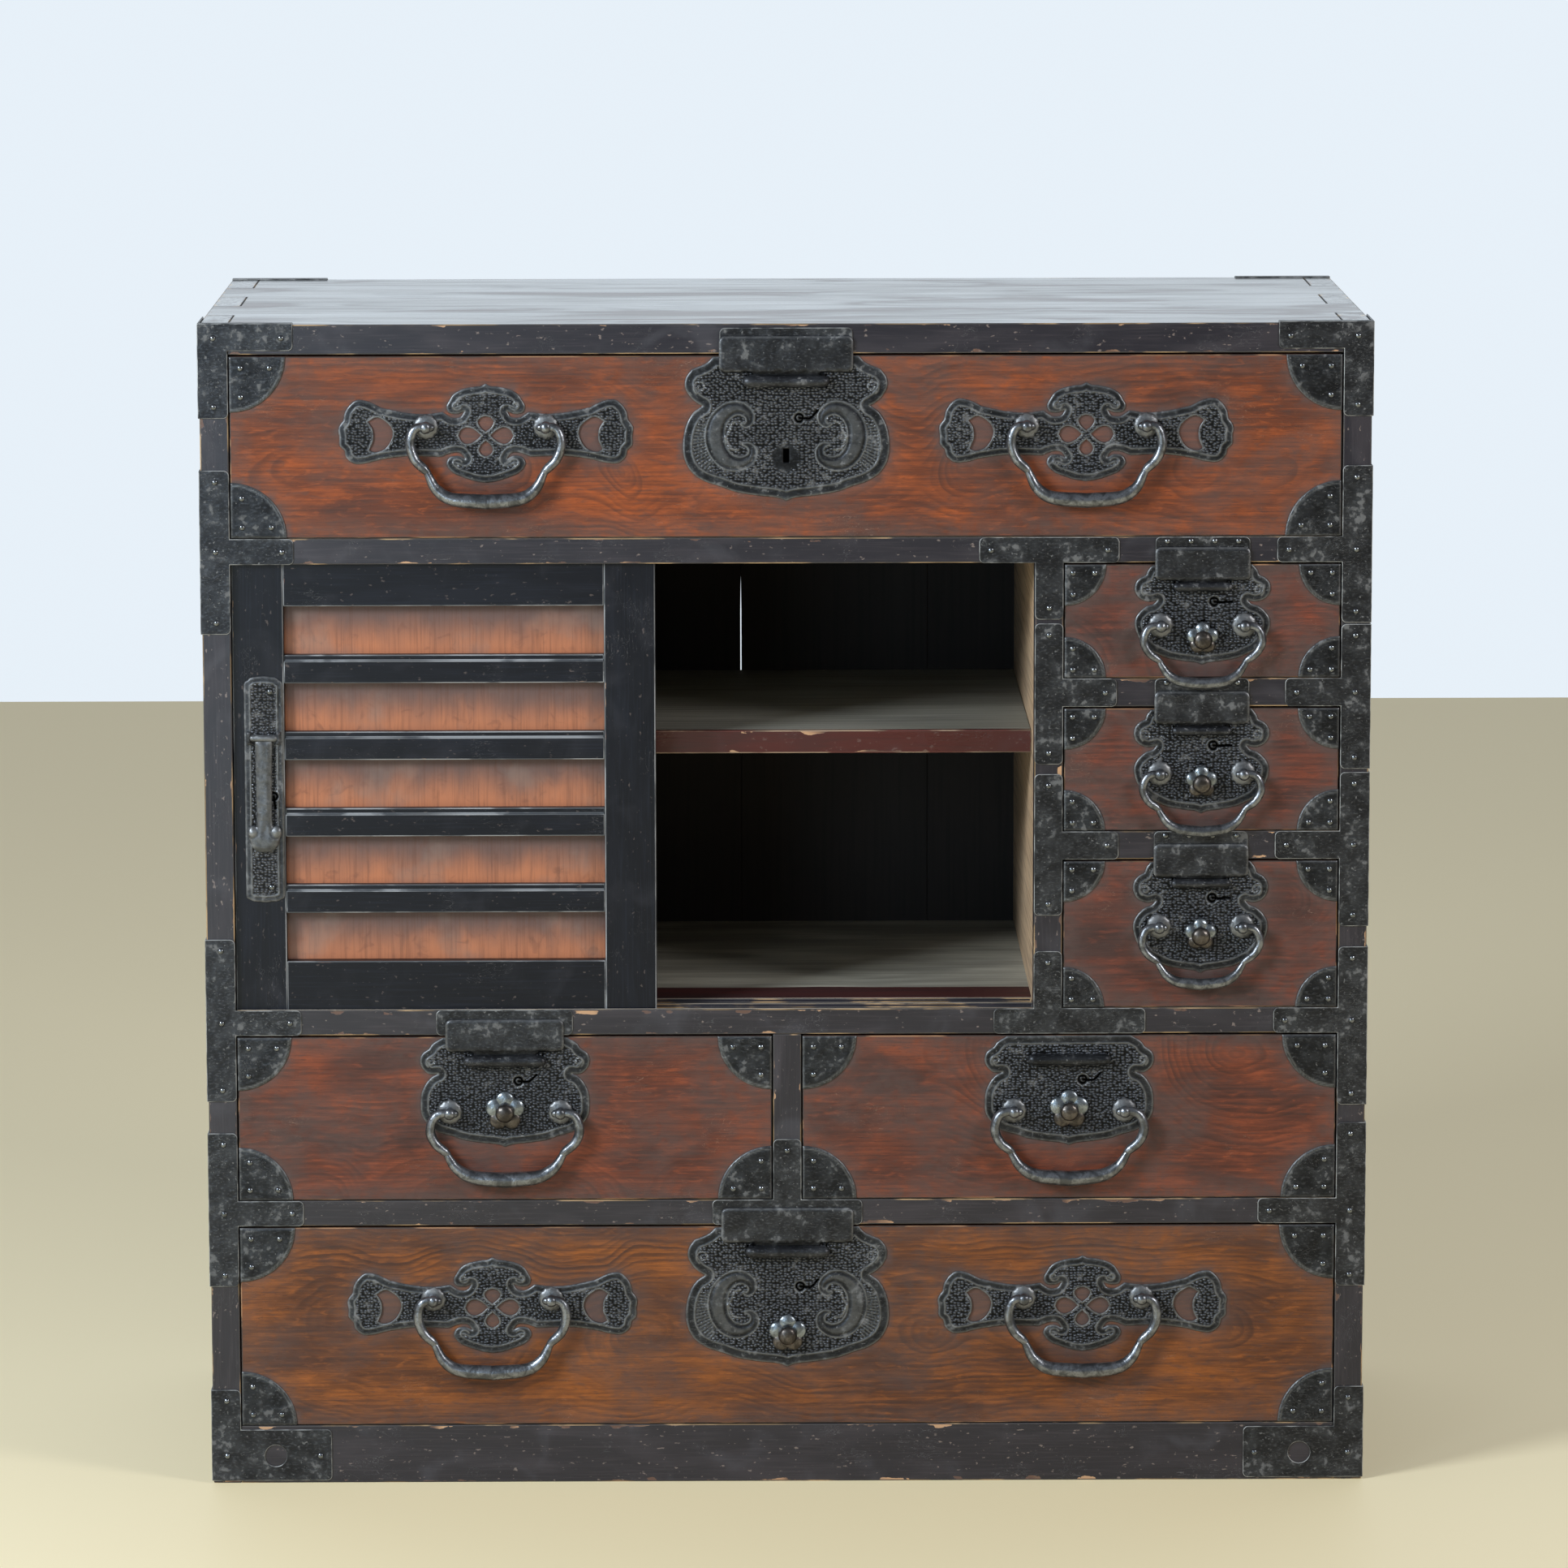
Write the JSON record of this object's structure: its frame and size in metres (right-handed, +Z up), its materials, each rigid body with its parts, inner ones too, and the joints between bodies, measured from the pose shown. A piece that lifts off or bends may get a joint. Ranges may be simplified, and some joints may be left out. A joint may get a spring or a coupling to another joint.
{
  "type": "clothing chest",
  "caption": "Lacquered Japanese clothing chest with drawers, a compartment behind two sliding doors, and iron locks, bails and corner straps",
  "frame": {"origin": "centre of the base, on the floor", "axes": "+X to the right seen from the front, the front faces -Y, +Z up"},
  "size_m": [0.9024, 0.4258, 0.9112],
  "materials": {
    "lacquered_wood": "black lacquer, worn pale along the edges",
    "top_wood": "weathered grey board with streaked grain",
    "plain_wood": "bare planed softwood",
    "keyaki": "orange-brown zelkova with bold grain, wiped lacquer",
    "dark_keyaki": "dark red-brown zelkova, wiped lacquer",
    "red_lacquer": "deep red lacquer on the lip, plain board behind",
    "wrought_iron": "blackened iron with rubbed edges and dust",
    "bright_iron": "handled iron, polished by use"
  },
  "bodies": {
    "case": {"side_panel_left": "lacquered_wood", "side_panel_right": "lacquered_wood", "top_board": "top_wood", "bottom_board": "plain_wood", "base_frame": "lacquered_wood", "back_planks": "plain_wood", "front_rails": "lacquered_wood", "door_tracks": "lacquered_wood", "dust_boards": "plain_wood", "partitions": "lacquered_wood", "compartment_shelf": "red_lacquer", "case_irons": "wrought_iron"},
    "door_front": {"door_front_frame": "lacquered_wood", "door_front_panel": "keyaki", "door_front_plate": "wrought_iron"},
    "door_rear": {"door_rear_frame": "lacquered_wood", "door_rear_panel": "keyaki"},
    "door_lever": {"door_lever": "wrought_iron"},
    "drawer_top": {"drawer_top_front": "keyaki", "drawer_top_box": "plain_wood", "drawer_top_irons": "wrought_iron"},
    "flap_top": {"flap_top": "wrought_iron"},
    "bail_top_left": {"bail_top_left": "bright_iron"},
    "bail_top_right": {"bail_top_right": "bright_iron"},
    "drawer_small_upper": {"drawer_small_upper_front": "dark_keyaki", "drawer_small_upper_box": "plain_wood", "drawer_small_upper_irons": "wrought_iron"},
    "flap_small_upper": {"flap_small_upper": "wrought_iron"},
    "knob_small_upper": {"knob_small_upper": "bright_iron"},
    "bail_small_upper": {"bail_small_upper": "bright_iron"},
    "drawer_small_middle": {"drawer_small_middle_front": "dark_keyaki", "drawer_small_middle_box": "plain_wood", "drawer_small_middle_irons": "wrought_iron"},
    "flap_small_middle": {"flap_small_middle": "wrought_iron"},
    "knob_small_middle": {"knob_small_middle": "bright_iron"},
    "bail_small_middle": {"bail_small_middle": "bright_iron"},
    "drawer_small_lower": {"drawer_small_lower_front": "dark_keyaki", "drawer_small_lower_box": "plain_wood", "drawer_small_lower_irons": "wrought_iron"},
    "flap_small_lower": {"flap_small_lower": "wrought_iron"},
    "knob_small_lower": {"knob_small_lower": "bright_iron"},
    "bail_small_lower": {"bail_small_lower": "bright_iron"},
    "drawer_half_left": {"drawer_half_left_front": "dark_keyaki", "drawer_half_left_box": "plain_wood", "drawer_half_left_irons": "wrought_iron"},
    "flap_half_left": {"flap_half_left": "wrought_iron"},
    "knob_half_left": {"knob_half_left": "bright_iron"},
    "bail_half_left": {"bail_half_left": "bright_iron"},
    "drawer_half_right": {"drawer_half_right_front": "dark_keyaki", "drawer_half_right_box": "plain_wood", "drawer_half_right_irons": "wrought_iron"},
    "knob_half_right": {"knob_half_right": "bright_iron"},
    "bail_half_right": {"bail_half_right": "bright_iron"},
    "drawer_bottom": {"drawer_bottom_front": "keyaki", "drawer_bottom_box": "plain_wood", "drawer_bottom_irons": "wrought_iron"},
    "flap_bottom": {"flap_bottom": "wrought_iron"},
    "knob_bottom": {"knob_bottom": "bright_iron"},
    "bail_bottom_left": {"bail_bottom_left": "bright_iron"},
    "bail_bottom_right": {"bail_bottom_right": "bright_iron"}
  },
  "joints": [
    {"name": "door_front_slide", "type": "slide", "parent": "case", "child": "door_front", "axis": [1, 0, 0], "range_m": [0, 0.2923]},
    {"name": "door_rear_slide", "type": "slide", "parent": "case", "child": "door_rear", "axis": [1, 0, 0], "range_m": [0, 0.2923]},
    {"name": "door_lever_swing", "type": "hinge", "parent": "door_front", "child": "door_lever", "pos_m": [-0.404, -0.2043, 0.59], "axis": [-1, 0, 0], "range_deg": [0, 100]},
    {"name": "drawer_top_slide", "type": "slide", "parent": "case", "child": "drawer_top", "axis": [0, -1, 0], "range_m": [0, 0.3]},
    {"name": "flap_top_swing", "type": "hinge", "parent": "drawer_top", "child": "flap_top", "pos_m": [0, -0.2091, 0.866], "axis": [1, 0, 0], "range_deg": [0, 100]},
    {"name": "bail_top_left_swing", "type": "hinge", "parent": "drawer_top", "child": "bail_top_left", "pos_m": [-0.2305, -0.2142, 0.83152], "axis": [-1, 0, 0], "range_deg": [0, 160]},
    {"name": "bail_top_right_swing", "type": "hinge", "parent": "drawer_top", "child": "bail_top_right", "pos_m": [0.2305, -0.2142, 0.83152], "axis": [-1, 0, 0], "range_deg": [0, 160]},
    {"name": "drawer_small_upper_slide", "type": "slide", "parent": "case", "child": "drawer_small_upper", "axis": [0, -1, 0], "range_m": [0, 0.3]},
    {"name": "flap_small_upper_swing", "type": "hinge", "parent": "drawer_small_upper", "child": "flap_small_upper", "pos_m": [0.32075, -0.2091, 0.7065], "axis": [1, 0, 0], "range_deg": [0, 100]},
    {"name": "knob_small_upper_slide", "type": "slide", "parent": "drawer_small_upper", "child": "knob_small_upper", "axis": [0, 0, 1], "range_m": [0, 0.006]},
    {"name": "bail_small_upper_swing", "type": "hinge", "parent": "drawer_small_upper", "child": "bail_small_upper", "pos_m": [0.32075, -0.2142, 0.6765], "axis": [-1, 0, 0], "range_deg": [0, 120]},
    {"name": "drawer_small_middle_slide", "type": "slide", "parent": "case", "child": "drawer_small_middle", "axis": [0, -1, 0], "range_m": [0, 0.3]},
    {"name": "flap_small_middle_swing", "type": "hinge", "parent": "drawer_small_middle", "child": "flap_small_middle", "pos_m": [0.32075, -0.2091, 0.5945], "axis": [1, 0, 0], "range_deg": [0, 100]},
    {"name": "knob_small_middle_slide", "type": "slide", "parent": "drawer_small_middle", "child": "knob_small_middle", "axis": [0, 0, 1], "range_m": [0, 0.006]},
    {"name": "bail_small_middle_swing", "type": "hinge", "parent": "drawer_small_middle", "child": "bail_small_middle", "pos_m": [0.32075, -0.2142, 0.561], "axis": [-1, 0, 0], "range_deg": [0, 120]},
    {"name": "drawer_small_lower_slide", "type": "slide", "parent": "case", "child": "drawer_small_lower", "axis": [0, -1, 0], "range_m": [0, 0.3]},
    {"name": "flap_small_lower_swing", "type": "hinge", "parent": "drawer_small_lower", "child": "flap_small_lower", "pos_m": [0.32075, -0.2091, 0.475], "axis": [1, 0, 0], "range_deg": [0, 100]},
    {"name": "knob_small_lower_slide", "type": "slide", "parent": "drawer_small_lower", "child": "knob_small_lower", "axis": [0, 0, 1], "range_m": [0, 0.006]},
    {"name": "bail_small_lower_swing", "type": "hinge", "parent": "drawer_small_lower", "child": "bail_small_lower", "pos_m": [0.32075, -0.2142, 0.441], "axis": [-1, 0, 0], "range_deg": [0, 120]},
    {"name": "drawer_half_left_slide", "type": "slide", "parent": "case", "child": "drawer_half_left", "axis": [0, -1, 0], "range_m": [0, 0.3]},
    {"name": "flap_half_left_swing", "type": "hinge", "parent": "drawer_half_left", "child": "flap_half_left", "pos_m": [-0.2195, -0.2091, 0.3365], "axis": [1, 0, 0], "range_deg": [0, 100]},
    {"name": "knob_half_left_slide", "type": "slide", "parent": "drawer_half_left", "child": "knob_half_left", "axis": [0, 0, 1], "range_m": [0, 0.006]},
    {"name": "bail_half_left_swing", "type": "hinge", "parent": "drawer_half_left", "child": "bail_half_left", "pos_m": [-0.2195, -0.2142, 0.296], "axis": [-1, 0, 0], "range_deg": [0, 120]},
    {"name": "drawer_half_right_slide", "type": "slide", "parent": "case", "child": "drawer_half_right", "axis": [0, -1, 0], "range_m": [0, 0.3]},
    {"name": "knob_half_right_slide", "type": "slide", "parent": "drawer_half_right", "child": "knob_half_right", "axis": [0, 0, 1], "range_m": [0, 0.006]},
    {"name": "bail_half_right_swing", "type": "hinge", "parent": "drawer_half_right", "child": "bail_half_right", "pos_m": [0.2195, -0.2142, 0.296], "axis": [-1, 0, 0], "range_deg": [0, 120]},
    {"name": "drawer_bottom_slide", "type": "slide", "parent": "case", "child": "drawer_bottom", "axis": [0, -1, 0], "range_m": [0, 0.3]},
    {"name": "flap_bottom_swing", "type": "hinge", "parent": "drawer_bottom", "child": "flap_bottom", "pos_m": [0, -0.2091, 0.1845], "axis": [1, 0, 0], "range_deg": [0, 100]},
    {"name": "knob_bottom_slide", "type": "slide", "parent": "drawer_bottom", "child": "knob_bottom", "axis": [0, 0, 1], "range_m": [0, 0.006]},
    {"name": "bail_bottom_left_swing", "type": "hinge", "parent": "drawer_bottom", "child": "bail_bottom_left", "pos_m": [-0.2305, -0.2142, 0.14711], "axis": [-1, 0, 0], "range_deg": [0, 160]},
    {"name": "bail_bottom_right_swing", "type": "hinge", "parent": "drawer_bottom", "child": "bail_bottom_right", "pos_m": [0.2305, -0.2142, 0.14711], "axis": [-1, 0, 0], "range_deg": [0, 160]}
  ]
}
